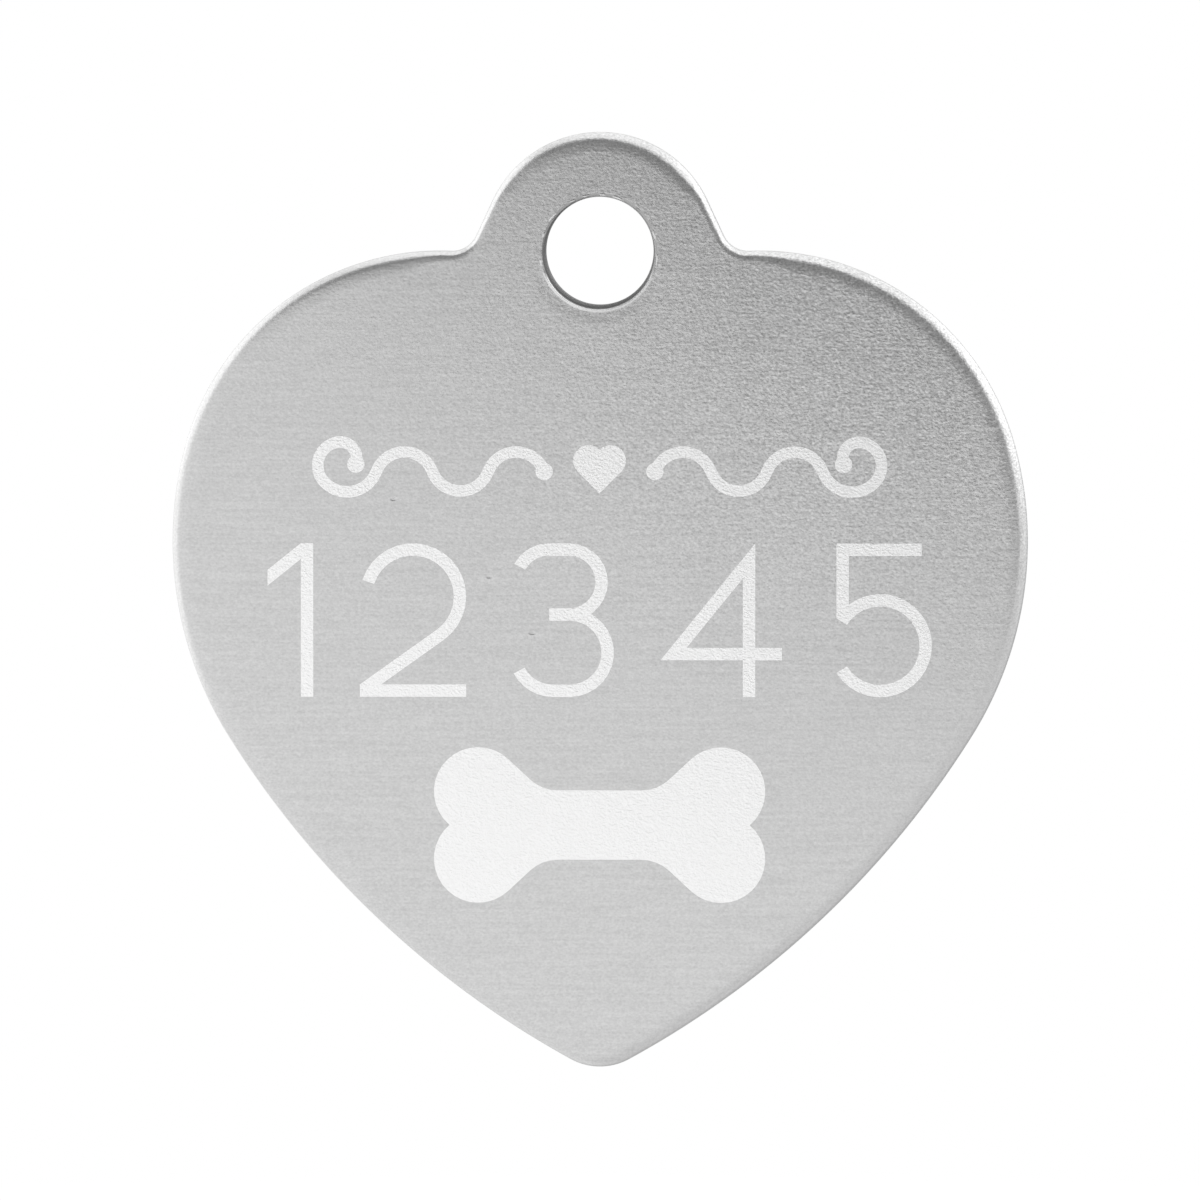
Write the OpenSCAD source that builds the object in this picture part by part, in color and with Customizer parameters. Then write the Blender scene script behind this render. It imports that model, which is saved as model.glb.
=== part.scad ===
// Heart-shaped pet tag: one stamped metal blank with a ring hole, and whitened marks in its face.
// The tag stands as it hangs: X runs across it, Z is up and its face looks along -Y.
// The origin is the centre of the ring hole, halfway through the metal.

/* [Blank] */
// Width of the heart at its widest
tag_w = 31.75; // [28:0.25:38]
// Thickness of the metal
tag_t = 1.2; // [1:0.1:2]
// From the ring hole's centre down to the tip
tip_drop = 30.3; // [27:0.1:35]
// From the ring hole's centre down to the heart's widest level
lobe_drop = 10.8; // [9.5:0.1:12]
// Radius of the heart's side, about its widest level
lobe_r = 13.6; // [12.6:0.1:14.8]
// Height of the shoulder's crest above the widest level
shoulder_rise = 10.8; // [10:0.1:11.5]
// Radius of the shoulder, from the tab out to the side
shoulder_r = 9.8; // [8.8:0.1:10.8]
// Radius of the long flank that runs down to the tip
flank_r = 34.6; // [30:0.5:42]
// Radius of the rounded tip
tip_r = 2.25; // [1.8:0.05:3]
// Width of the soft roll that the stamping leaves round the face, from the wall inwards
roll_w = 0.8; // [0.65:0.05:0.95]
// Radius of that soft roll
roll_r = 2.6; // [2:0.1:4]
// Radius of the rim's corner on the face side
rim_r = 0.45; // [0.3:0.05:0.55]
// Radius of the rim's corner on the back
back_rim_r = 0.2; // [0.1:0.05:0.3]

/* [Ring tab] */
// Radius of the round tab, about the ring hole
tab_r = 4.4; // [4:0.1:5]
// Lean of the tab's straight flank from upright, in degrees
tab_lean = 25; // [15:1:35]
// Radius of the hollow where the tab meets the shoulder
neck_r = 1; // [0.6:0.1:1.5]
// Diameter of the ring hole
hole_d = 4; // [3:0.1:5]
// Radius of the ring hole's rounded edge, on both faces
hole_edge_r = 0.15; // [0.1:0.05:0.3]

/* [Marks] */
// Depth of the whitened skin
mark_depth = 0.05; // [0.03:0.01:0.15]
// Width of the pen that draws the digits
digit_pen = 0.46; // [0.3:0.02:0.7]
// Height of the digits
digit_h = 5.7; // [4.5:0.1:6.5]
// Width of the round digit two, which the other digits follow
digit_w = 3.95; // [3.4:0.05:4.4]
// Bare metal left on each side of the row of digits
digit_margin = 3.55; // [3:0.05:4.2]
// Width of the pen that draws the scrolls
scroll_pen = 0.43; // [0.3:0.01:0.6]
// Bare metal left on each side of the scrolls
scroll_margin = 5.5; // [4.5:0.1:7]
// Clear space between each scroll and the small heart
scroll_gap = 0.75; // [0.4:0.05:1.2]
// Side of the square that the small heart is drawn on
heart_side = 1.15; // [0.8:0.05:1.5]
// Length of the bone
bone_w = 12.3; // [10:0.1:13.5]
// Height of the bone across its two lobes
bone_h = 5.78; // [5:0.02:6.4]
// Height of the bone's shaft
bone_shaft_h = 2.58; // [2:0.02:3]
// Radius of the bone's lobes
bone_lobe_r = 1.64; // [1.45:0.01:1.8]
// Radius of the hollow between the shaft and a lobe
bone_neck_r = 1.5; // [1:0.05:2]
// Slope of the straight run between that hollow and the lobe, in degrees
bone_slope = 43; // [38:1:48]

/* [Hidden] */
NODES = ["tag_plate", "scroll_left", "heart_mark", "scroll_right",
         "digit_one", "digit_two", "digit_three", "digit_four", "digit_five", "bone_mark"];
$fn = 96;

// How far a cut runs past the face it opens
overrun = 1;
// How far a flat step of a round outline may stand from the true curve
smooth = 0.008;
// Flat steps in the soft roll and in a corner of the rim's section
roll_steps = 3;
corner_steps = 5;
// Depth of the metal strip round the ring hole that carries its rounded edge
hole_band = 4*hole_edge_r;

// Levels of the three rows of marks, as shares of the drop from hole to tip
scroll_level_share = 0.27;
digit_level_share = 0.452;
bone_level_share = 0.703;

// A point at one unit's distance in a direction, in degrees
function unit(a) = [cos(a), sin(a)];
// Direction from one point to another, in degrees
function bearing(a, b) = atan2(b.y - a.y, b.x - a.x);
// The sum of a list's first n values
function total(v, n) = n == 0 ? 0 : v[n - 1] + total(v, n - 1);
function reversed(v) = [for (k = [len(v) - 1:-1:0]) v[k]];
function without_last(v) = [for (k = [0:len(v) - 2]) v[k]];
function without_ends(v) = [for (k = [1:len(v) - 2]) v[k]];
function flipped(v, way) = [for (p = v) [way.x*p.x, way.y*p.y]];
// How many flat steps draw an arc
function steps(r, sweep) = ceil(abs(sweep)/(2*acos(1 - smooth/r)));
// Points along an arc, ends included
function arc_points(centre, r, from, to, n) =
    [for (k = [0:n]) centre + r*unit(from + (to - from)*k/n)];
// The same, with as many steps as the arc needs
function arc(centre, r, from, to) = arc_points(centre, r, from, to, steps(r, to - from));

// The blank's outline is a chain of arcs down its right side, each tangent to the next.
// Centre of the side's arc
lobe = [tag_w/2 - lobe_r, -lobe_drop];
// Direction in which the side's arc meets the shoulder's
lobe_top = asin((shoulder_rise - shoulder_r)/(lobe_r - shoulder_r));
// Centre of the shoulder's arc
shoulder = lobe + (lobe_r - shoulder_r)*unit(lobe_top);
// Centre of the hollow, which slides down beside the tab's flank until it touches the shoulder
tab_down = unit(tab_lean - 90);
neck_start = (tab_r + neck_r)*unit(tab_lean);
neck_slide = (shoulder - neck_start)*tab_down;
neck_miss = norm(shoulder - neck_start - neck_slide*tab_down);
neck = neck_start + (neck_slide - sqrt(pow(shoulder_r + neck_r, 2) - neck_miss*neck_miss))*tab_down;
neck_turn = bearing(shoulder, neck);
// Centre of the tip's arc
tip = [0, tip_r - tip_drop];
// Centre of the flank's arc, which holds the side's arc and the tip's arc inside it
side_reach = flank_r - lobe_r;
tip_reach = flank_r - tip_r;
chord = norm(tip - lobe);
chord_way = (tip - lobe)/chord;
chord_foot = (side_reach*side_reach - tip_reach*tip_reach + chord*chord)/(2*chord);
chord_rise = sqrt(side_reach*side_reach - chord_foot*chord_foot);
flank = lobe + chord_foot*chord_way + chord_rise*[chord_way.y, -chord_way.x];
flank_top = bearing(flank, lobe);
flank_end = bearing(flank, tip);

// The outline's right side, drawn a set distance inside the wall, from the top down to the tip
function right_side(inset) = concat(
    arc_points([0, 0], tab_r - inset, 90, tab_lean, steps(tab_r, 90 - tab_lean)),
    without_last(arc_points(neck, neck_r + inset, 180 + tab_lean, 180 + neck_turn,
                            steps(neck_r, neck_turn - tab_lean))),
    without_last(arc_points(shoulder, shoulder_r - inset, neck_turn, lobe_top,
                            steps(shoulder_r, neck_turn - lobe_top))),
    without_last(arc_points(lobe, lobe_r - inset, lobe_top, 0, steps(lobe_r, lobe_top))),
    without_last(arc_points(lobe, lobe_r - inset, 0, flank_top, steps(lobe_r, flank_top))),
    without_last(arc_points(flank, flank_r - inset, flank_top, flank_end,
                            steps(flank_r, flank_top - flank_end))),
    arc_points(tip, tip_r - inset, flank_end, -90, steps(tip_r, flank_end + 90)));
// The whole outline, clockwise as the face shows it
function outline(inset) =
    let (side = right_side(inset))
    concat(side, flipped(reversed(without_ends(side)), [-1, 1]));

// The rim's section from the face round to the back, as [inset, height] points:
// a soft roll that leaves the face, a corner tangent to it, the wall, and the back's corner
roll_end = asin((roll_w - rim_r)/(roll_r - rim_r));
corner_h = tag_t/2 - roll_r + (roll_r - rim_r)*cos(roll_end);
rim_curve = concat(
    without_last(arc_points([roll_w, tag_t/2 - roll_r], roll_r, 90, 90 + roll_end, roll_steps)),
    arc_points([rim_r, corner_h], rim_r, 90 + roll_end, 180, corner_steps),
    arc_points([back_rim_r, back_rim_r - tag_t/2], back_rim_r, 180, 270, corner_steps));
// Both ends run on past the face and the back, in line with their first step
function run_on(a, b) = a + (a - b);
rim_last = len(rim_curve) - 1;
rim_section = concat([run_on(rim_curve[0], rim_curve[1])], without_ends(rim_curve),
                     [run_on(rim_curve[rim_last], rim_curve[rim_last - 1])]);

// The rim's section carried round the outline, a little thicker than the metal
module rim_body() {
    ring_n = len(outline(0));
    last = len(rim_section) - 1;
    polyhedron(
        points = [for (s = rim_section) for (p = outline(s.x)) [p.x, p.y, s.y]],
        faces = concat(
            [[for (k = [0:ring_n - 1]) k]],
            [for (s = [0:last - 1]) for (k = [0:ring_n - 1])
                [s*ring_n + k, (s + 1)*ring_n + k, (s + 1)*ring_n + (k + 1)%ring_n, s*ring_n + (k + 1)%ring_n]],
            [[for (k = [ring_n - 1:-1:0]) last*ring_n + k]]));
}

// The blank without its hole, lying flat with its face upwards: that body cut to the metal's thickness
module stamping() {
    intersection() {
        rim_body();
        translate([0, -tip_drop/2, 0])
            cube([2*tag_w, 2*tip_drop, tag_t], center = true);
    }
}

// The strip of metal round the ring hole, with its edge rounded on both faces
module hole_rim() {
    rotate_extrude()
        translate([hole_d/2, 0]) {
            translate([0, hole_edge_r - tag_t/2])
                square([hole_band, tag_t - 2*hole_edge_r]);
            translate([hole_edge_r, -tag_t/2])
                square([hole_band - hole_edge_r, tag_t]);
            for (side = [-1, 1])
                translate([hole_edge_r, side*(tag_t/2 - hole_edge_r)])
                    circle(hole_edge_r);
        }
}

module blank() {
    difference() {
        stamping();
        cylinder(h = tag_t + 2*overrun, r = hole_d/2 + hole_band/2, center = true);
    }
    hole_rim();
}

// A pen line has a pose, [x, y, heading], and moves, [run, bend].
// A move with no bend is a straight run. With a bend it is an arc of radius run, to the left if the bend is positive.
function pivot(pose, move) = [pose.x, pose.y] + move.x*unit(pose.z + 90*sign(move.y));
function beside(pose, off) = [pose.x, pose.y] + off*unit(pose.z + 90);
function next_pose(pose, move) =
    let (end = move.y == 0 ? [pose.x, pose.y] + move.x*unit(pose.z)
                           : pivot(pose, move) + move.x*unit(pose.z + move.y - 90*sign(move.y)))
    [end.x, end.y, pose.z + move.y];
function last_pose(pose, moves, k = 0) =
    k == len(moves) ? pose : last_pose(next_pose(pose, moves[k]), moves, k + 1);
function move_points(pose, move, off) =
    let (side = sign(move.y), start = pose.z - 90*side)
    move.y == 0 ? [beside(pose, off)]
                : without_last(arc_points(pivot(pose, move), move.x - side*off, start, start + move.y,
                                          steps(move.x, move.y)));
// One edge of the line, a set distance to its left
function pen_edge(pose, moves, off, k = 0) =
    k == len(moves) ? [beside(pose, off)]
                    : concat(move_points(pose, moves[k], off),
                             pen_edge(next_pose(pose, moves[k]), moves, off, k + 1));

module pen_line(pose, moves, pen) {
    polygon(concat(pen_edge(pose, moves, -pen/2), reversed(pen_edge(pose, moves, pen/2))));
}

// Widths of the five digits, as shares of the digit two's
digit_width_shares = [0.43, 1, 0.95, 1.14, 0.97];
digit_widths = [for (s = digit_width_shares) s*digit_w];
digit_row_w = tag_w - 2*digit_margin;
digit_gap = (digit_row_w - total(digit_widths, 5))/4;

// Each digit is drawn with its lower left corner at the origin
module one_shape() {
    stem = digit_widths[0] - digit_pen;
    slope_share = 0.8;
    flag = digit_h - slope_share*stem;
    flag_t = digit_pen*norm([1, slope_share]);
    polygon([[stem, 0], [stem + digit_pen, 0], [stem + digit_pen, digit_h], [stem, digit_h],
             [0, flag], [0, flag - flag_t], [stem, digit_h - flag_t]]);
}

module two_shape() {
    w = digit_widths[1];
    r = (w - digit_pen)/2;
    bowl = [w/2, digit_h - w/2];
    hook = 162;
    start = bowl + r*unit(hook);
    // The slope's inner edge runs from the bowl to the upper left corner of the foot
    foot = [0, digit_pen];
    inner_r = r - digit_pen/2;
    reach = norm(foot - bowl);
    turn = bearing(bowl, foot) + acos(inner_r/reach);
    square([w, digit_pen]);
    pen_line([start.x, start.y, hook - 90],
             [[r, turn - hook], [sqrt(reach*reach - inner_r*inner_r), 0]], digit_pen);
}

module three_shape() {
    w = digit_widths[2];
    bowls = (digit_h - digit_pen)/2;
    top_bowl_share = 0.46;
    top_width_share = 0.94;
    waist_share = 0.36;
    run_shares = [1.1, 1.05];
    hook = 62;
    top_r = top_bowl_share*bowls;
    low_r = bowls - top_r;
    waist = [waist_share*w, digit_pen/2 + 2*low_r];
    top_right = top_width_share*w - digit_pen/2 - top_r;
    low_right = w - digit_pen/2 - low_r;
    pen_line([waist.x, waist.y, 0],
             [[top_right - waist.x, 0], [top_r, 180], [top_right - run_shares[0]*top_r, 0], [top_r, hook]],
             digit_pen);
    pen_line([waist.x, waist.y, 0],
             [[low_right - waist.x, 0], [low_r, -180], [low_right - run_shares[1]*low_r, 0], [low_r, -hook]],
             digit_pen);
}

module four_shape() {
    w = digit_widths[3];
    bar_share = 0.24;
    stem_share = 0.78;
    bar = bar_share*digit_h;
    stem = stem_share*w;
    rise = digit_h - bar;
    slope = norm([stem, rise]);
    inner = stem - digit_pen;
    difference() {
        polygon([[0, bar], [inner, bar], [inner, 0], [stem, 0], [stem, bar], [w, bar],
                 [w, bar + digit_pen], [stem, bar + digit_pen], [stem, digit_h]]);
        polygon([[digit_pen*(slope + stem)/rise, bar + digit_pen], [inner, bar + digit_pen],
                 [inner, bar + (inner*rise - digit_pen*slope)/stem]]);
    }
}

module five_shape() {
    w = digit_widths[4];
    r = (w - digit_pen)/2;
    hook = 148;
    bar_share = 0.9;
    start = [w/2, w/2] + r*unit(hook);
    // The stem stands on the outer corner of the bowl's upper end
    stem = [w/2, w/2] + (r + digit_pen/2)*unit(hook);
    bar_end = bar_share*w;
    pen_line([start.x, start.y, hook - 90], [[r, -2*hook]], digit_pen);
    polygon([stem, [stem.x + digit_pen, stem.y], [stem.x + digit_pen, digit_h - digit_pen],
             [bar_end, digit_h - digit_pen], [bar_end, digit_h], [stem.x, digit_h]]);
}

// The small heart between the scrolls: two half discs on a square that stands on its corner
heart_r = heart_side/2;
heart_lobe_x = heart_r/sqrt(2);

module heart_shape() {
    polygon(concat(
        arc([heart_lobe_x, heart_lobe_x], heart_r, -45, 135),
        without_last(arc([-heart_lobe_x, heart_lobe_x], heart_r, 45, 225)),
        [[-2*heart_lobe_x, 0], [0, -2*heart_lobe_x]]));
}

// The right scroll: a wave that runs out from the small heart and ends in a curl, with a ball on each end
scroll_waves = 3;
scroll_bend = 140;
scroll_start = heart_lobe_x + heart_r + scroll_gap;
scroll_end = tag_w/2 - scroll_margin;
// Share of the scroll's length that the wave takes, and the curl's radii as shares of the wave's
wave_share = 0.72;
curl_shares = [1.05, 0.8, 0.56];
curl_bend = 120;
// Radius of a ball, as a share of the pen's width
ball_share = 0.75;
wave_r = wave_share*(scroll_end - scroll_start)/(2*scroll_waves*sin(scroll_bend/2));

module scroll_shape() {
    wave = [for (k = [0:scroll_waves - 1]) [wave_r, k%2 == 0 ? -scroll_bend : scroll_bend]];
    moves = concat(wave, [for (s = curl_shares) [s*wave_r, curl_bend]]);
    start = [scroll_start + ball_share*scroll_pen, 0, scroll_bend/2];
    pen_line(start, moves, scroll_pen);
    for (end = [start, last_pose(start, moves)])
        translate([end.x, end.y])
            circle(ball_share*scroll_pen);
}

// A quarter of the bone, from the middle of its shaft round to the notch between its lobes
bone_lobe = [bone_w/2 - bone_lobe_r, bone_h/2 - bone_lobe_r];
slope_out = unit(90 + bone_slope);
slope_top = bone_lobe + bone_lobe_r*slope_out;
slope_foot_y = bone_shaft_h/2 + bone_neck_r*(1 - cos(bone_slope));
slope_foot = [slope_top.x - (slope_top.y - slope_foot_y)/tan(bone_slope), slope_foot_y];
bone_quarter = concat(
    arc(slope_foot + bone_neck_r*slope_out, bone_neck_r, -90, bone_slope - 90),
    arc(bone_lobe, bone_lobe_r, 90 + bone_slope, -asin(bone_lobe.y/bone_lobe_r)));
bone_right = concat(bone_quarter, reversed(flipped(without_last(bone_quarter), [1, -1])));

module bone_shape() {
    polygon(concat(bone_right, reversed(flipped(bone_right, [-1, 1]))));
}

// Moves digit k from the origin to its place in the row
module digit_place(k) {
    translate([total(digit_widths, k) + k*digit_gap - digit_row_w/2,
               -digit_level_share*tip_drop - digit_h/2])
        children();
}

// Every mark in its place on the face
module mark_shape(name) {
    if (name == "scroll_left")
        translate([0, -scroll_level_share*tip_drop])
            mirror([1, 0])
                scroll_shape();
    if (name == "heart_mark")
        translate([0, -scroll_level_share*tip_drop])
            heart_shape();
    if (name == "scroll_right")
        translate([0, -scroll_level_share*tip_drop])
            scroll_shape();
    if (name == "digit_one")
        digit_place(0) one_shape();
    if (name == "digit_two")
        digit_place(1) two_shape();
    if (name == "digit_three")
        digit_place(2) three_shape();
    if (name == "digit_four")
        digit_place(3) four_shape();
    if (name == "digit_five")
        digit_place(4) five_shape();
    if (name == "bone_mark")
        translate([0, -bone_level_share*tip_drop])
            bone_shape();
}

// A mark's solid, from the floor of its pocket up
module mark_body(name, height) {
    translate([0, 0, tag_t/2 - mark_depth])
        linear_extrude(height)
            mark_shape(name);
}

// Stands the flat tag up, with its face towards -Y
module upright() {
    rotate([90, 0, 0])
        children();
}

module tag_plate() {
    color("silver")
        upright()
            difference() {
                blank();
                for (name = NODES)
                    if (name != "tag_plate")
                        mark_body(name, mark_depth + overrun);
            }
}

module white_mark(name) {
    color("white")
        upright()
            mark_body(name, mark_depth);
}

tag_plate();
white_mark("scroll_left");  // scroll_left
white_mark("heart_mark");  // heart_mark
white_mark("scroll_right");  // scroll_right
white_mark("digit_one");  // digit_one
white_mark("digit_two");  // digit_two
white_mark("digit_three");  // digit_three
white_mark("digit_four");  // digit_four
white_mark("digit_five");  // digit_five
white_mark("bone_mark");  // bone_mark
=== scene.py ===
# %% [markdown]
# # A heart-shaped pet tag
# A pet tag is a very plain object: one stamping of thin aluminium with a hole for a ring, and marks that a
# laser has turned white. So the whole likeness lies in two things, the soft rim that stamping leaves and
# the way that satin metal answers to the light round it. This lesson builds both. The sizes come from a
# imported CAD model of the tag. It hangs upright, with X across it, Z up and its face towards -Y, and the
# origin lies in the middle of the ring hole.

import math

import bmesh
import bpy
from mathutils import Matrix, Vector


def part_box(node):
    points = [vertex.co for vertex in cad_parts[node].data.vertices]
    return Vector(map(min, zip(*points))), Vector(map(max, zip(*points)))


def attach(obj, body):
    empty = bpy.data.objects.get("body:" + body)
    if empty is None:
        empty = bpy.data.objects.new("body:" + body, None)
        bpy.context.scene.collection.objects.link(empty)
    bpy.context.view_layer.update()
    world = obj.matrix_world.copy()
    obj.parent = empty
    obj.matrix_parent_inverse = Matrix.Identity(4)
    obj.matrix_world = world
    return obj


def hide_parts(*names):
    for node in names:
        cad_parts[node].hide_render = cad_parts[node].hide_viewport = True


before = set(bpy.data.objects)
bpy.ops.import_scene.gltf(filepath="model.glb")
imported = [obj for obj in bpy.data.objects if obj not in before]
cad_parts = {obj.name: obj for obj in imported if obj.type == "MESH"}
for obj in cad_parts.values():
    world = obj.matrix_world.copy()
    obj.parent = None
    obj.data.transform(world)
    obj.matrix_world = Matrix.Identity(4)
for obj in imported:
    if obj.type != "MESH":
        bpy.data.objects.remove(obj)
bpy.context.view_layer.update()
print("CAD nodes:", ", ".join(sorted(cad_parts)))

# %% [markdown]
# ## Sizes
# The model's box gives the overall sizes: the width, the thickness, the tip's drop below the hole and the
# tab's radius, which is also how far the tag reaches above the hole. What a box can't tell, such as the
# radius of a shoulder, is named here once, in metres.

# %% Sizes of the blank
MM = 0.001
low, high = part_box("tag_plate")
tag_w = high.x - low.x
tag_t = high.y - low.y
tab_r = high.z
tip_drop = -low.z

lobe_drop = 10.8 * MM
lobe_r = 13.6 * MM
shoulder_rise = 10.8 * MM
shoulder_r = 9.8 * MM
flank_r = 34.6 * MM
tip_r = 2.25 * MM
neck_r = 1 * MM
tab_lean = math.radians(25)
print(f"blank: {tag_w / MM:.2f} x {(tab_r + tip_drop) / MM:.2f} x {tag_t / MM:.2f} mm")

# %% [markdown]
# ## The outline
# The edge of the tag could be bent to shape by eye, as a Bezier curve. A draughtsman draws such a heart
# with compasses instead: every stretch of its edge is an arc that leaves the last one without a kink. That
# way has true radii to name, and it meets the CAD model's outline all the way round.
#
# Going down the right side, the tab's round top runs by a straight flank into the hollow of the neck, then
# come the shoulder, the side, the long flank and the tip. Where two arcs touch, their centres and the point
# of contact lie on one line, and that is all the geometry below. An arc is kept as its centre, its radius
# and the two directions between which it runs.

# %% Tangent arcs down the right side
quarter = math.pi / 2


def unit(angle):
    """A step of one metre in a direction."""
    return Vector((math.cos(angle), math.sin(angle)))


def bearing(start, end):
    """The direction from one point to another."""
    return math.atan2(end.y - start.y, end.x - start.x)


def side_arcs():
    """The arcs of the tag's right side, from the top of the tab down to the tip."""
    lobe = Vector((tag_w / 2 - lobe_r, -lobe_drop))
    lobe_top = math.asin((shoulder_rise - shoulder_r) / (lobe_r - shoulder_r))
    shoulder = lobe + (lobe_r - shoulder_r) * unit(lobe_top)

    # The hollow's centre slides down beside the tab's straight flank until it touches the shoulder
    tab_down = unit(tab_lean - quarter)
    neck_start = (tab_r + neck_r) * unit(tab_lean)
    slide = (shoulder - neck_start).dot(tab_down)
    miss = (shoulder - neck_start - slide * tab_down).length
    neck = neck_start + (slide - math.sqrt((shoulder_r + neck_r) ** 2 - miss**2)) * tab_down
    neck_turn = bearing(shoulder, neck)

    # The flank's arc holds the side's arc and the tip's arc inside it
    tip = Vector((0, tip_r - tip_drop))
    side_reach = flank_r - lobe_r
    tip_reach = flank_r - tip_r
    chord = (tip - lobe).length
    way = (tip - lobe) / chord
    foot = (side_reach**2 - tip_reach**2 + chord**2) / (2 * chord)
    rise = math.sqrt(side_reach**2 - foot**2)
    flank = lobe + foot * way + rise * Vector((way.y, -way.x))
    flank_top = bearing(flank, lobe)
    flank_end = bearing(flank, tip)

    return [
        (Vector((0, 0)), tab_r, quarter, tab_lean),
        (neck, neck_r, math.pi + tab_lean, math.pi + neck_turn),
        (shoulder, shoulder_r, neck_turn, lobe_top),
        (lobe, lobe_r, lobe_top, 0),
        (lobe, lobe_r, 0, flank_top),
        (flank, flank_r, flank_top, flank_end),
        (tip, tip_r, flank_end, -quarter),
    ]


arcs = side_arcs()
neck_centre = arcs[1][0]
print("arcs down one side:", len(arcs))

# %% Points along the outline
turn_step = math.radians(0.9)
run_step = 0.3 * MM
same_place = 1e-4 * MM


def arc_points(centre, radius, start, end):
    """Points along one arc, ends included, with short enough steps in turn and in length."""
    turn = abs(end - start)
    count = math.ceil(max(turn / turn_step, turn * radius / run_step))
    return [centre + radius * unit(start + (end - start) * k / count) for k in range(count + 1)]


def outline_points():
    """The whole outline, clockwise as the face shows it, starting at the top of the tab."""
    side = []
    for arc in arcs:
        points = arc_points(*arc)
        touches = side and (side[-1] - points[0]).length < same_place
        side += points[1:] if touches else points
    left = [Vector((-p.x, p.y)) for p in reversed(side[1:-1])]
    return side + left


outline = outline_points()
print("outline:", len(outline), "points")

# %% [markdown]
# ## A wrapper for node sockets
# Blender's shaders and its Geometry Nodes are both graphs of nodes. Written by hand, each sum costs several
# lines, so this small class wraps one socket and lets Python's own operators add the Math nodes. A vector
# has methods for its own kind of maths, and one method makes any other node.

# %% The Wire class
class Wire:
    """An output socket in a node tree, or with no socket the tree itself."""

    def __init__(self, tree, socket=None):
        self.tree = tree
        self.socket = socket

    def add(self, kind, settings=None, inputs=None, out=0):
        """A new node of that kind. Settings come first, then the values or wires of its inputs."""
        node = self.tree.nodes.new(kind)
        for name, value in (settings or {}).items():
            setattr(node, name, value)
        for name, value in (inputs or {}).items():
            for each in value if isinstance(value, list) else [value]:
                if isinstance(each, Wire):
                    self.tree.links.new(each.socket, node.inputs[name])
                else:
                    node.inputs[name].default_value = each
        return Wire(self.tree, node.outputs[out] if node.outputs else None)

    def sibling(self, name):
        """Another output of the same node."""
        return Wire(self.tree, self.socket.node.outputs[name])

    def math(self, operation, *others):
        """A Math node with this wire as its first value."""
        return self.add("ShaderNodeMath", {"operation": operation}, dict(enumerate([self, *others])))

    def vector(self, operation, *others, out="Vector"):
        """A Vector Math node with this wire as its first vector."""
        inputs = dict(enumerate([self, *others]))
        return self.add("ShaderNodeVectorMath", {"operation": operation}, inputs, out)

    def scaled(self, factor):
        """This vector times a number."""
        return self.add("ShaderNodeVectorMath", {"operation": "SCALE"}, {0: self, "Scale": factor})

    def step(self, start, end):
        """A soft step, 0 where this wire is at start and 1 where it is at end."""
        inputs = {"Value": self, "From Min": start, "From Max": end}
        return self.add("ShaderNodeMapRange", {"interpolation_type": "SMOOTHSTEP"}, inputs)

    def __add__(self, other):
        return self.math("ADD", other)

    __radd__ = __add__

    def __sub__(self, other):
        return self.math("SUBTRACT", other)

    def __rsub__(self, other):
        return self.add("ShaderNodeMath", {"operation": "SUBTRACT"}, {0: other, 1: self})

    def __mul__(self, other):
        return self.math("MULTIPLY", other)

    __rmul__ = __mul__

    def __truediv__(self, other):
        return self.math("DIVIDE", other)

    def __rtruediv__(self, other):
        return self.add("ShaderNodeMath", {"operation": "DIVIDE"}, {0: other, 1: self})

    def __neg__(self):
        return self.math("MULTIPLY", -1)


def between(first, second, share):
    """A value from the first to the second, by a share that is a wire from 0 to 1."""
    return first + (second - first) * share


print("Wire is ready")

# %% [markdown]
# ## The blank, as a Geometry Nodes tree
# A press punches the blank from sheet. Its punch drags the face down into a soft roll along the edge, and
# tumbling then rounds both corners. A Solidify and a Bevel modifier could thicken the outline and round it,
# but the face and the back would get the same rounding. So the blank is made as one outline and one section
# of its rim, and Curve to Mesh carries the section along the outline. The ring hole has a section of its
# own, and two filled curves close the face and the back. The tree has a named input for each size, so that
# a thicker or rounder blank takes one number.
#
# The rim is narrower in the two hollows beside the tab. Neck Share is what is left of its width there,
# within Neck Radius of Neck Place, and Neck Reach is how much further off it has its full width again. Neck
# Place is the hollow's centre, shifted a little up the tab.

# %% Inputs of the tree
blank_sizes = {
    "Thickness": tag_t,
    "Roll Width": 0.8 * MM,
    "Roll Radius": 2.6 * MM,
    "Rim Radius": 0.45 * MM,
    "Back Rim Radius": 0.2 * MM,
    "Hole Radius": 2 * MM,
    "Hole Edge Radius": 0.15 * MM,
    "Flat Lip": 0.04 * MM,
    "Neck Radius": neck_r,
    "Neck Reach": 1.8 * MM,
    "Neck Share": 0.4,
}
neck_shift = Vector((-0.2, 0.4)) * MM
neck_place = (*(neck_centre + neck_shift), 0.0)

tree = bpy.data.node_groups.new("stamped_blank", "GeometryNodeTree")
tree.is_modifier = True


def tree_input(name, kind):
    """A named input of the tree."""
    return tree.interface.new_socket(name, in_out="INPUT", socket_type=f"NodeSocket{kind}")


tree_input("Outline", "Geometry")
size_sockets = {name: tree_input(name, "Float") for name in blank_sizes}
neck_socket = tree_input("Neck Place", "Vector")
pocket_socket = tree_input("Pockets", "Object")
finish_socket = tree_input("Finish", "Material")
tree.interface.new_socket("Blank", in_out="OUTPUT", socket_type="NodeSocketGeometry")
geo = Wire(tree)
group_in = geo.add("NodeGroupInput", out="Outline")
print("tree inputs:", ", ".join([*blank_sizes, "Neck Place", "Pockets", "Finish"]))

# %% [markdown]
# The section is drawn in the plane that Curve to Mesh carries along: its X is the distance inwards from the
# wall, and its Y runs from the face to the back, with 0 in the middle of the sheet. It is a chain of
# tangent arcs too. A short flat lip at each end keeps the shading of the wide flat face apart from the
# roll's.

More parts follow.
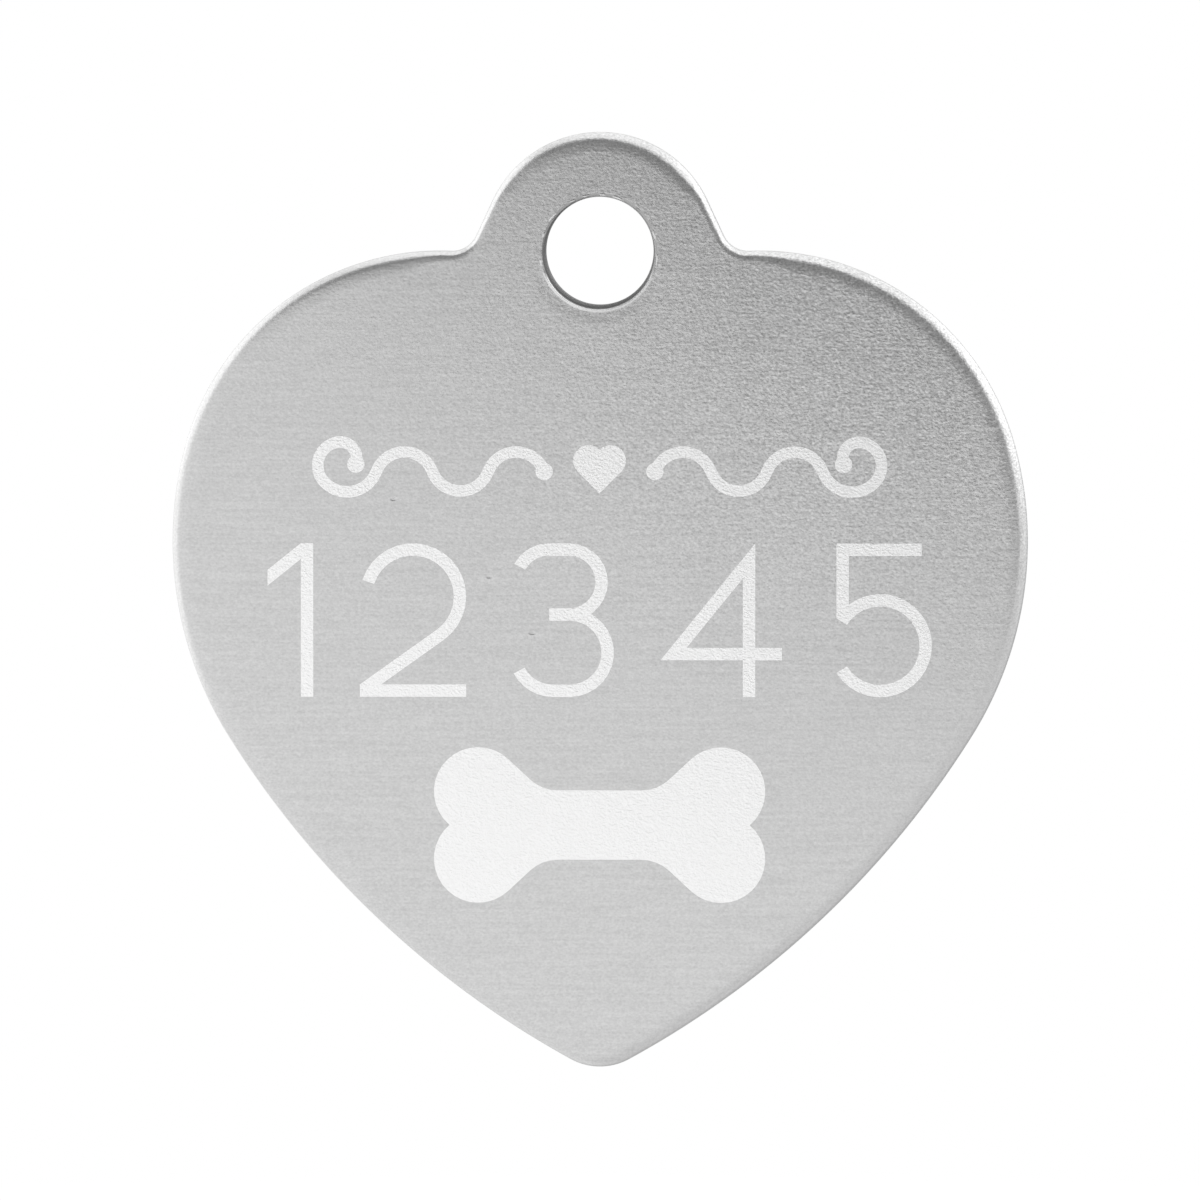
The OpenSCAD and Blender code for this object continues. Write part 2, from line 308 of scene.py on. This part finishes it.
# %% Sections and sweeps
def point(x, y):
    """A vector wire from two values."""
    return geo.add("ShaderNodeCombineXYZ", None, {"X": x, "Y": y})


def section_arc(x, y, radius, start, turn, steps):
    """An arc of a section, about a centre."""
    inputs = {"Resolution": steps + 1, "Radius": radius, "Start Angle": start, "Sweep Angle": turn}
    arc = geo.add("GeometryNodeCurveArc", {"mode": "RADIUS"}, inputs)
    return geo.add("GeometryNodeTransform", None, {"Geometry": arc, "Translation": point(x, y)})


def section_line(x0, y0, x1, y1):
    """A straight run of a section."""
    ends = {"Start": point(x0, y0), "End": point(x1, y1)}
    return geo.add("GeometryNodeCurvePrimitiveLine", {"mode": "POINTS"}, ends)


def join(*parts):
    """Several parts as one geometry. The node takes its last link first, so they are linked in reverse."""
    return geo.add("GeometryNodeJoinGeometry", None, {"Geometry": list(reversed(parts))})


def sweep(path, *parts):
    """The section's parts carried along a path."""
    return geo.add("GeometryNodeCurveToMesh", None, {"Curve": path, "Profile Curve": join(*parts)})


half_t = group_in.sibling("Thickness") * 0.5
back_r = group_in.sibling("Back Rim Radius")
lip = group_in.sibling("Flat Lip")
arc_steps = 8
print("nodes so far:", len(tree.nodes))

# %% Rim
roll_w = group_in.sibling("Roll Width")
roll_r = group_in.sibling("Roll Radius")
rim_r = group_in.sibling("Rim Radius")
roll_turn = ((roll_w - rim_r) / (roll_r - rim_r)).math("ARCSINE")
corner_y = roll_r - half_t - (roll_r - rim_r) * roll_turn.math("COSINE")
corner_steps = 12

here = geo.add("GeometryNodeInputPosition")
edge_curve = geo.add("GeometryNodeSetCurveNormal", {"mode": "Z_UP"}, {"Curve": group_in})
edge_path = geo.add("GeometryNodeStoreNamedAttribute", {"data_type": "FLOAT_VECTOR"},
                    {"Geometry": edge_curve, "Name": "foot", "Value": here})
full_rim = sweep(
    edge_path,
    section_line(roll_w + lip, -half_t, roll_w, -half_t),
    section_arc(roll_w, roll_r - half_t, roll_r, -quarter, -roll_turn, arc_steps),
    section_arc(rim_r, corner_y, rim_r, -quarter - roll_turn, roll_turn - quarter, corner_steps),
    section_line(0, corner_y, 0, half_t - back_r),
    section_arc(back_r, half_t - back_r, back_r, -math.pi, -quarter, arc_steps),
    section_line(back_r, half_t, back_r + lip, half_t),
)
print("nodes so far:", len(tree.nodes))

# %% [markdown]
# Every point of the rim remembers its foot, the place on the outline that it was swept from. To narrow the
# rim in the hollows, each point is pulled level towards its foot, by what the share leaves over.

# %% Narrower rim beside the tab
def rim_share(place):
    """How much of its full width the rim has beside a place on the outline, alike on both sides."""
    x = geo.add("ShaderNodeSeparateXYZ", None, {"Vector": place}, out="X")
    on_right = point(x.math("ABSOLUTE"), x.sibling("Y"))
    from_neck = on_right.vector("DISTANCE", group_in.sibling("Neck Place"), out="Value")
    near = group_in.sibling("Neck Radius")
    far = near + group_in.sibling("Neck Reach")
    return between(group_in.sibling("Neck Share"), 1, from_neck.step(near, far))


foot = geo.add("GeometryNodeInputNamedAttribute", {"data_type": "FLOAT_VECTOR"}, {"Name": "foot"})
to_foot = foot.vector("SUBTRACT", here).vector("MULTIPLY", (1, 1, 0))
pull = to_foot.scaled(1 - rim_share(foot))
narrowed = geo.add("GeometryNodeSetPosition", None, {"Geometry": full_rim, "Offset": pull})
rim = geo.add("GeometryNodeRemoveAttribute", None, {"Geometry": narrowed, "Name": "foot"})
print("nodes so far:", len(tree.nodes))

# %% Bore of the ring hole
hole_points = 240
hole_r = group_in.sibling("Hole Radius")
edge_r = group_in.sibling("Hole Edge Radius")

hole_circle = geo.add("GeometryNodeCurvePrimitiveCircle", None,
                      {"Resolution": hole_points, "Radius": hole_r})
hole_path = geo.add("GeometryNodeSetCurveNormal", {"mode": "Z_UP"}, {"Curve": hole_circle})
bore = sweep(
    hole_path,
    section_line(edge_r + lip, -half_t, edge_r, -half_t),
    section_arc(edge_r, edge_r - half_t, edge_r, -quarter, -quarter, arc_steps),
    section_line(0, edge_r - half_t, 0, half_t - edge_r),
    section_arc(edge_r, half_t - edge_r, edge_r, -math.pi, -quarter, arc_steps),
    section_line(edge_r, half_t, edge_r + lip, half_t),
)
print("nodes so far:", len(tree.nodes))

# %% Face, back and weld
weld_distance = 0.5e-3 * MM


def inset(path, distance):
    """The path moved sideways, towards the metal."""
    offset = geo.add("GeometryNodeInputNormal").scaled(distance)
    return geo.add("GeometryNodeSetPosition", None, {"Geometry": path, "Offset": offset})


def cap(rim_inset, height):
    """The flat sheet inside the rim and round the hole."""
    edges = join(inset(edge_curve, rim_inset * rim_share(here)), inset(hole_path, edge_r + lip))
    sheet = geo.add("GeometryNodeFillCurve", {"mode": "TRIANGLES"}, {"Curve": edges})
    lift = geo.add("ShaderNodeCombineXYZ", None, {"Z": height})
    return geo.add("GeometryNodeTransform", None, {"Geometry": sheet, "Translation": lift})


back = geo.add("GeometryNodeFlipFaces", None, {"Mesh": cap(back_r + lip, -half_t)})
strips = geo.add("GeometryNodeFlipFaces", None, {"Mesh": join(rim, bore)})
shell = join(strips, cap(roll_w + lip, half_t), back)
welded = geo.add("GeometryNodeMergeByDistance", None, {"Geometry": shell, "Distance": weld_distance})
stood = geo.add("GeometryNodeTransform", None, {"Geometry": welded, "Rotation": (quarter, 0, 0)})
print("nodes so far:", len(tree.nodes))

# %% [markdown]
# ## Pockets for the marks
# The laser whitens a skin of the metal, and in the CAD model each mark is a thin solid that fills a shallow
# pocket. If the face ran on under the marks, two surfaces would lie in one plane and the renderer could
# show either. So the same pockets are cut here: each mark's mesh is welded, its front is pulled out past
# the face, and the tree subtracts it.

# %% Cutters from the marks
mark_names = [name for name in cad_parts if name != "tag_plate"]
face_y = low.y
cutter_reach = 0.3 * MM


def placed(name, data):
    """A new object with that mesh, curve, lamp or camera, in the scene."""
    made = bpy.data.objects.new(name, data)
    bpy.context.scene.collection.objects.link(made)
    return made


def pocket_cutter():
    """One mesh that holds every mark's solid, with its front pulled out past the face."""
    work = bmesh.new()
    for name in mark_names:
        work.from_mesh(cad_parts[name].data)
    bmesh.ops.remove_doubles(work, verts=work.verts, dist=weld_distance)
    for vert in work.verts:
        if vert.co.y < face_y + weld_distance:
            vert.co.y -= cutter_reach
    mesh = bpy.data.meshes.new("pocket_cutter")
    work.to_mesh(mesh)
    work.free()
    return placed("pocket_cutter", mesh)


cutter = pocket_cutter()
pockets = geo.add("GeometryNodeObjectInfo", None, {"Object": group_in.sibling("Pockets")}, out="Geometry")
cut = geo.add("GeometryNodeMeshBoolean", {"operation": "DIFFERENCE", "solver": "EXACT"},
              {"Mesh 1": stood, "Mesh 2": pockets})
print("cutter:", len(cutter.data.polygons), "faces from", len(mark_names), "marks")

# %% [markdown]
# The tree ends by smoothing the shading everywhere but at real corners, such as a pocket's, and by giving
# the blank its finish. Then the outline goes through it, and the result is kept as a plain mesh.

# %% Shading and finish
corner_angle = math.radians(35)
soft_edge = geo.add("GeometryNodeInputMeshEdgeAngle").math("LESS_THAN", corner_angle)
smooth_faces = geo.add("GeometryNodeSetShadeSmooth", {"domain": "FACE"},
                       {"Geometry": cut, "Shade Smooth": True})
smooth = geo.add("GeometryNodeSetShadeSmooth", {"domain": "EDGE"},
                 {"Geometry": smooth_faces, "Shade Smooth": soft_edge})
real = geo.add("GeometryNodeRealizeInstances", None, {"Geometry": smooth})
finished = geo.add("GeometryNodeSetMaterial", None,
                   {"Geometry": real, "Material": group_in.sibling("Finish")})
geo.add("NodeGroupOutput", None, {"Blank": finished})
print("nodes in the tree:", len(tree.nodes))

# %% The finished blank
def outline_curve():
    """The outline as a closed curve object."""
    curve = bpy.data.curves.new("blank_outline", "CURVE")
    curve.dimensions = "3D"
    spline = curve.splines.new("POLY")
    spline.points.add(len(outline) - 1)
    for vertex, place in zip(spline.points, outline):
        vertex.co = (place.x, place.y, 0, 1)
    spline.use_cyclic_u = True
    return placed("blank_outline", curve)


def run_blank(finish):
    """The tree's result as a plain mesh object. The curve and the cutter have then done their work."""
    source = outline_curve()
    modifier = source.modifiers.new("stamped_blank", "NODES")
    modifier.node_group = tree
    for name, value in blank_sizes.items():
        modifier[size_sockets[name].identifier] = value
    modifier[neck_socket.identifier] = neck_place
    modifier[pocket_socket.identifier] = cutter
    modifier[finish_socket.identifier] = finish
    evaluated = source.evaluated_get(bpy.context.evaluated_depsgraph_get())
    mesh = bpy.data.meshes.new_from_object(evaluated)
    mesh.name = "stamped_plate"
    bpy.data.objects.remove(source)
    bpy.data.objects.remove(cutter)
    return placed("stamped_plate", mesh)


metal = bpy.data.materials.new("satin_anodised_aluminium")
plate = run_blank(metal)
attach(plate, "root")
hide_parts("tag_plate")

check = bmesh.new()
check.from_mesh(plate.data)
open_edges = sum(not edge.is_manifold for edge in check.edges)
print("plate:", len(check.faces), "faces,", open_edges, "open edges,",
      f"{check.calc_volume(signed=True) / MM**3:.2f} mm3")
check.free()

# %% [markdown]
# ## Satin anodised aluminium
# The sheet is brushed, etched and anodised before it is punched. Close up, its face is a fine grain drawn
# out along the rolling direction, with a few long faint lines and here and there a tiny ding. An image
# could be wrapped on it, but noise on Object coordinates needs no unwrapping, is sharp from any distance,
# and moves with the tag. Part of the grain is a relief of a few micrometres and part a speckle of its tone,
# and both are stronger towards the upper right.

# %% Helpers for materials
def blank_material(material):
    """Empties a material's tree and returns the tree as a wire, with the Object coordinates as another."""
    material.use_nodes = True
    material.node_tree.nodes.clear()
    shade = Wire(material.node_tree)
    return shade, shade.add("ShaderNodeTexCoord", out="Object")


def drawn_out(place, length, width, shift):
    """Coordinates in which a unit is that long along X and that wide across."""
    inputs = {"Vector": place, "Location": (shift, 0, 0), "Scale": (1 / length, 1 / width, 1 / width)}
    return place.add("ShaderNodeMapping", None, inputs)


def grain(place, length, width, detail, shift=0.0):
    """Noise whose features are drawn out along X. The shift keeps one grain apart from another."""
    stretched = drawn_out(place, length, width, shift)
    inputs = {"Vector": stretched, "Scale": 1.0, "Detail": detail, "Roughness": 0.6}
    return place.add("ShaderNodeTexNoise", None, inputs, out="Fac")


def mixed(first, second, factor):
    """One colour mixed into another."""
    return factor.add("ShaderNodeMix", {"data_type": "RGBA"}, {0: factor, 6: first, 7: second}, out=2)


def grey(level):
    """A grey of that level, as a colour."""
    return (level, level, level, 1)


def bumped(shade, height, unit_length):
    """The normal of a surface with that relief, whose height is counted in a unit length."""
    return shade.add("ShaderNodeBump", None, {"Strength": 1.0, "Distance": unit_length, "Height": height})


def surface(shade, kind, inputs):
    """A shader as the material's surface."""
    shade.add("ShaderNodeOutputMaterial", None, {"Surface": shade.add(kind, None, inputs)})


print("material helpers are ready")

# %% Grain and dings of the face
# The grain is weak at the first place and strong at the second
strength_x = -10 * MM, 12 * MM
strength_z = -17 * MM, -5 * MM
weak_relief, strong_relief = 0.7, 1.3
weak_speckle, strong_speckle, line_speckle = 1.15, 3.65, 0.3
pit_height_mm, ripple_height_mm, line_height_mm = 0.01, 0.004, 0.002

# A ding's edge and floor are shares of the gaps between dings
ding_gap_along, ding_gap_across = 3.2 * MM, 2 * MM
ding_edge, ding_floor = 0.05, 0.02


def face_grain(place, x, z):
    """The relief of the face in millimetres, and the speckle of its tone, which is 0 at the mean tone."""
    pits = grain(place, length=0.12 * MM, width=0.105 * MM, detail=1.5)
    ripples = grain(place, length=0.33 * MM, width=0.11 * MM, detail=1.0, shift=5.0)
    lines = grain(place, length=2.5 * MM, width=0.09 * MM, detail=0.0, shift=9.0)
    skin = grain(place, length=0.1 * MM, width=0.07 * MM, detail=2.0, shift=13.0)
    strength = x.step(*strength_x) * z.step(*strength_z)
    relief = pits * pit_height_mm + ripples * ripple_height_mm + lines * line_height_mm
    speckle = (skin - 0.5) * between(weak_speckle, strong_speckle, strength) + (lines - 0.5) * line_speckle
    return relief * between(weak_relief, strong_relief, strength), speckle


def face_dings(place):
    """The tiny dings, 1 in the middle of each."""
    cells = drawn_out(place, ding_gap_along, ding_gap_across, shift=1.0)
    from_middle = place.add("ShaderNodeTexVoronoi", None, {"Vector": cells, "Scale": 1.0}, out="Distance")
    return from_middle.step(ding_edge, ding_floor)


print(f"the grain is strongest right of {strength_x[1] / MM:.0f} mm and above {strength_z[1] / MM:.0f} mm")

# %% [markdown]
# Punching leaves the wall of the ring hole torn and rough, throws up a burr round it and drags the face down
# a little just below it. The hole's wall and its rounded edge are painted dark, which is painted shade
# inside the hole, and the burr and a few nicks on it are painted paler, a painted highlight on top of their
# relief. The tear isn't quite round the hole's own axis, so it has a place of its own. Each pair of radii
# below is a soft step, from where a mark has faded away to where it is whole.

# %% Marks of the punch
tear_place = (-0.03 * MM, 0, -0.075 * MM)
tear_and_shade_radii = 2.1 * MM, 2.06 * MM
edge_shade_radii = 2.16 * MM, 2.12 * MM
burr_inner_radii = 2.09 * MM, 2.14 * MM
burr_outer_radii = 2.22 * MM, 2.15 * MM
dip_radii = 2.7 * MM, 2.2 * MM
low_side_heights = -0.5 * MM, -1.3 * MM
nick_size = 0.5 * MM
nick_levels = 0.52, 0.62


def punch_marks(place, x, z):
    """Masks, each 1 where it is whole: the wall's tear, rough and in painted shade, the hole's curved edge
    in painted shade, the raised ring round the hole with a painted highlight, and the dip below it.
    """
    flat = place.add("ShaderNodeCombineXYZ", None, {"X": x, "Z": z})
    from_tear = flat.vector("DISTANCE", tear_place, out="Value")
    # The wall's tear is rough, and it is also painted dark: painted shade inside the hole
    torn_and_shaded = from_tear.step(*tear_and_shade_radii)
    # The hole's rounded edge is painted darker: painted shade
    edge_shade = flat.vector("LENGTH", out="Value").step(*edge_shade_radii)
    low_side = z.step(*low_side_heights)
    nicks_and_glints = grain(place, nick_size, nick_size, detail=1.0, shift=2.0).step(*nick_levels)
    ring = from_tear.step(*burr_inner_radii) * from_tear.step(*burr_outer_radii)
    # The burr's ring, mostly on the low side and at the nicks, is raised, and it is painted paler as well: a
    # painted highlight
    burr_highlight = ring * low_side.math("MAXIMUM", nicks_and_glints)
    dip = from_tear.step(*dip_radii) * low_side
    return torn_and_shaded, edge_shade, burr_highlight, dip


print(f"the tear's middle lies {-tear_place[2] / MM:.3f} mm below the hole's axis")

# %% Satin metal
burr_height_mm, ding_depth_mm, dip_depth_mm = 0.03, 0.012, 0.012
dark_grain, pale_grain, grain_contrast = 0.28, 1.0, 0.35
# Tones painted on the hole: shade on its rounded edge, a highlight on the burr, shade on the torn wall
edge_shade_tone, burr_highlight_tone, torn_shade_tone = 0.42, 0.85, 0.2
face_roughness, torn_roughness = 0.345, 0.545


def dress_metal(material):
    """Bare metal with the grain of the face and the marks of the punch, with painted shade in the ring hole
    and a painted highlight round it.
    """
    shade, place = blank_material(material)
    x = shade.add("ShaderNodeSeparateXYZ", None, {"Vector": place}, out="X")
    z = x.sibling("Z")
    relief, speckle = face_grain(place, x, z)
    torn_and_shaded, edge_shade, burr_highlight, dip = punch_marks(place, x, z)

    height = relief + burr_highlight * burr_height_mm - face_dings(place) * ding_depth_mm - dip * dip_depth_mm
    base = mixed(grey(dark_grain), grey(pale_grain), 0.5 + grain_contrast * speckle)
    # Painted shade on the hole's edge and wall, and a painted highlight on the burr
    for tone, part in ((edge_shade_tone, edge_shade), (burr_highlight_tone, burr_highlight), (torn_shade_tone, torn_and_shaded)):
        base = mixed(base, grey(tone), part)
    roughness = between(face_roughness, torn_roughness, torn_and_shaded)
    normal = bumped(shade, height, MM)
    surface(shade, "ShaderNodeBsdfPrincipled",
            {"Base Color": base, "Metallic": 1.0, "Roughness": roughness, "Normal": normal})
    print(material.name, "has", len(material.node_tree.nodes), "nodes")


dress_metal(metal)

# %% [markdown]
# ## The whitened marks
# The laser doesn't dig: it turns the anodised skin white. The marks could be painted in the metal's own
# material, but in the CAD model they are pieces of their own, so they keep their shape and only get a
# finish. The metal still shines through, so they darken towards the upper right as the face does, and they
# keep a fine grain.

# %% Whitened skin
skin_levels = 0.25, 0.75
skin_height = 0.009 * MM
dark_skin, pale_skin = 0.97, 1.0


def dress_mark(material):
    """White skin with a fine grain, through which the metal still shines."""
    shade, place = blank_material(material)
    fine = grain(place, length=0.1 * MM, width=0.07 * MM, detail=1.5).step(*skin_levels)
    tone = mixed(grey(dark_skin), grey(pale_skin), fine)
    normal = bumped(shade, fine, skin_height)
    surface(shade, "ShaderNodeBsdfPrincipled",
            {"Base Color": tone, "Metallic": 0.9, "Roughness": 0.42, "Normal": normal})
    print(material.name, "has", len(material.node_tree.nodes), "nodes")


mark_white = bpy.data.materials.new("laser_whitened_skin")
dress_mark(mark_white)
for name in mark_names:
    for material_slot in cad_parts[name].material_slots:
        material_slot.material = mark_white
print("white marks:", len(mark_names))

# %% [markdown]
# ## The studio
# A small metal thing is photographed in a white tent, where every side of it has white to reflect. A long
# dark card close to the camera gives the flat face its shade. It runs down from the upper left to the
# right, so the face darkens towards its upper right corner, and the roll along the upper edge shows the
# card as a dark line. Grey nets take some of the white away elsewhere. One at the lower right draws the
# edge of the right flank and the tip, and two behind the tag leave a thin grey line round its rim. The
# metal reflects the card and the nets, and none of them shades it. One picture of a studio could light it
# all, but it would have to be a file, and a card can be moved until the reflection is right.

# %% Floor
def disc(name, radius, material):
    """A flat disc of the studio."""
    mesh = bpy.data.meshes.new(name)
    work = bmesh.new()
    bmesh.ops.create_circle(work, cap_ends=True, segments=96, radius=radius)
    work.to_mesh(mesh)
    work.free()
    mesh.materials.append(material)
    made = placed(name, mesh)
    return made


def fading(name, shader_kind, colour, inner, outer):
    """A material that is whole inside one radius of its disc and gone past another."""
    material = bpy.data.materials.new(name)
    shade, place = blank_material(material)
    gone = place.vector("LENGTH", out="Value").step(inner, outer)
    whole = shade.add(shader_kind, None, {"Color": colour})
    clear = shade.add("ShaderNodeBsdfTransparent")
    surface(shade, "ShaderNodeMixShader", {0: gone, 1: whole, 2: clear})
    return material


floor_tone = 0.9
floor_drop = 8 * MM
floor_whole, floor_gone, floor_radius = 30 * MM, 58 * MM, 60 * MM
floor_white = fading("floor_white", "ShaderNodeBsdfDiffuse", grey(floor_tone), floor_whole, floor_gone)
floor = disc("floor", floor_radius, floor_white)
floor.location.z = low.z - floor_drop
floor.visible_glossy = False
print("floor:", floor_drop / MM, "mm below the tip")

# %% [markdown]
# The card is a disc of radius 1, with a soft rim outside that, stretched to an ellipse. A net or a lamp is
# placed by two angles: its turn round the camera's axis, counted from X, and its lean from that axis.

# %% Dark card
card_tone = 0.18
card_place = Vector((-31.3, -61, 68.5)) * MM
card_turn = math.radians(42.4)
card_half_length, card_half_width = 89.9 * MM, 27.2 * MM
card_fade = 1.607

card = disc("dark_card", card_fade, fading("card_dark", "ShaderNodeEmission", grey(card_tone), 1, card_fade))
card.location = card_place
card.rotation_euler = (quarter, card_turn, 0)
card.scale = (card_half_length, card_half_width, 1)
print(f"card: {card_place.length / MM:.0f} mm from the hole")

# %% Grey nets
net_distance = 0.25
net_whole = 0.6


def towards(turn, lean):
    """The way from the tag to a net or a lamp."""
    side = math.sin(lean) * unit(turn)
    return Vector((side.x, -math.cos(lean), side.y))


def grey_net(name, turn, lean, reach, left_over):
    """A net that takes light away, most of all in its middle. It reaches that many degrees to each side."""
    radius = net_distance * math.tan(math.radians(reach))
    gauze = fading(name, "ShaderNodeBsdfTransparent", grey(left_over), net_whole * radius, radius)
    net = disc(name, radius, gauze)
    away = towards(math.radians(turn), math.radians(lean))
    net.location = net_distance * away
    net.rotation_euler = away.to_track_quat("Z", "Y").to_euler()
    return net


nets = [
    grey_net("net_low_right", turn=-52, lean=70, reach=54, left_over=0.83),
    grey_net("net_behind", turn=-50, lean=148, reach=42, left_over=0.6),
    grey_net("net_back", turn=0, lean=180, reach=40, left_over=0.78),
]
for hidden in [card, *nets]:
    hidden.visible_camera = False
    hidden.visible_diffuse = False
    hidden.visible_shadow = False
print("stage:", card.name, "and", len(nets), "nets")

# %% World
def tent(world):
    """An even white on every side, at the strength where white is just white."""
    world.use_nodes = True
    world.node_tree.nodes.clear()
    sky = Wire(world.node_tree)
    background = sky.add("ShaderNodeBackground", None, {"Color": grey(1), "Strength": 1.0})
    sky.add("ShaderNodeOutputWorld", None, {"Surface": background})


world = bpy.data.worlds.new("white_tent")
bpy.context.scene.world = world
tent(world)
print("world:", world.name)

# %% [markdown]
# Parts of the tent are lit from outside, so they are brighter than the rest: on the right a little above
# the middle, along the top, and on the left. A large dim lamp stands for each. The rim's corner shows them
# as a white line, which breaks off at the lower right, where nothing is lit.

# %% Lit panels
panel_distance = 0.9
panel_middle = Vector((0, 0, (low.z + high.z) / 2))


def lit_panel(name, turn, lean, half_width, half_depth, radiance):
    """A rectangular lamp that faces the tag, with its depth along the camera's axis and sizes as angles."""
    turn, lean = math.radians(turn), math.radians(lean)
    lamp = bpy.data.lights.new(name, "AREA")
    lamp.shape = "RECTANGLE"
    lamp.size = 2 * panel_distance * math.tan(math.radians(half_width))
    lamp.size_y = 2 * panel_distance * math.tan(math.radians(half_depth))
    lamp.energy = radiance * math.pi * lamp.size * lamp.size_y
    away = towards(turn, lean)
    along = towards(turn, lean + quarter)
    made = placed(name, lamp)
    made.location = panel_middle + panel_distance * away
    made.rotation_euler = Matrix((along.cross(away), along, away)).transposed().to_euler()


lit_panel("panel_right", turn=28, lean=101, half_width=19, half_depth=48, radiance=0.75)
lit_panel("panel_top", turn=80, lean=102, half_width=32, half_depth=48, radiance=0.33)
lit_panel("panel_left", turn=148, lean=105, half_width=19, half_depth=44, radiance=0.55)
lit_panel("panel_left_low", turn=185, lean=110, half_width=17, half_depth=40, radiance=0.38)
print("lit panels:", len(bpy.data.lights))

# %% [markdown]
# ## The camera
# The photograph looks at the face from straight in front through a long lens, from a hair above and to the
# right: the hole shows a little more of its wall at the lower left. The photograph's scale, in pixels to
# the millimetre, sets how wide the view is, and the height of the hole in it sets what the camera aims at.

# %% Camera
photo_px = 1200
photo_px_per_mm = 26.94
photo_hole_py = 250.7
frame_width = photo_px / photo_px_per_mm * MM
aim = Vector((0, 0, (photo_hole_py - photo_px / 2) / photo_px_per_mm * MM))
camera_distance = 0.6
azimuth = math.radians(1.6)
elevation = math.radians(1.9)

lens = bpy.data.cameras.new("camera")
lens.lens = lens.sensor_width * camera_distance / frame_width
lens.clip_start = 0.01
camera = placed("camera", lens)
level = math.cos(elevation)
away = Vector((math.sin(azimuth) * level, -math.cos(azimuth) * level, math.sin(elevation)))
camera.location = aim + camera_distance * away
camera.rotation_euler = (-away).to_track_quat("-Z", "Y").to_euler()
bpy.context.scene.camera = camera
bpy.context.scene.view_settings.view_transform = "Standard"
print(f"camera: {lens.lens:.0f} mm lens, {camera_distance} m away")
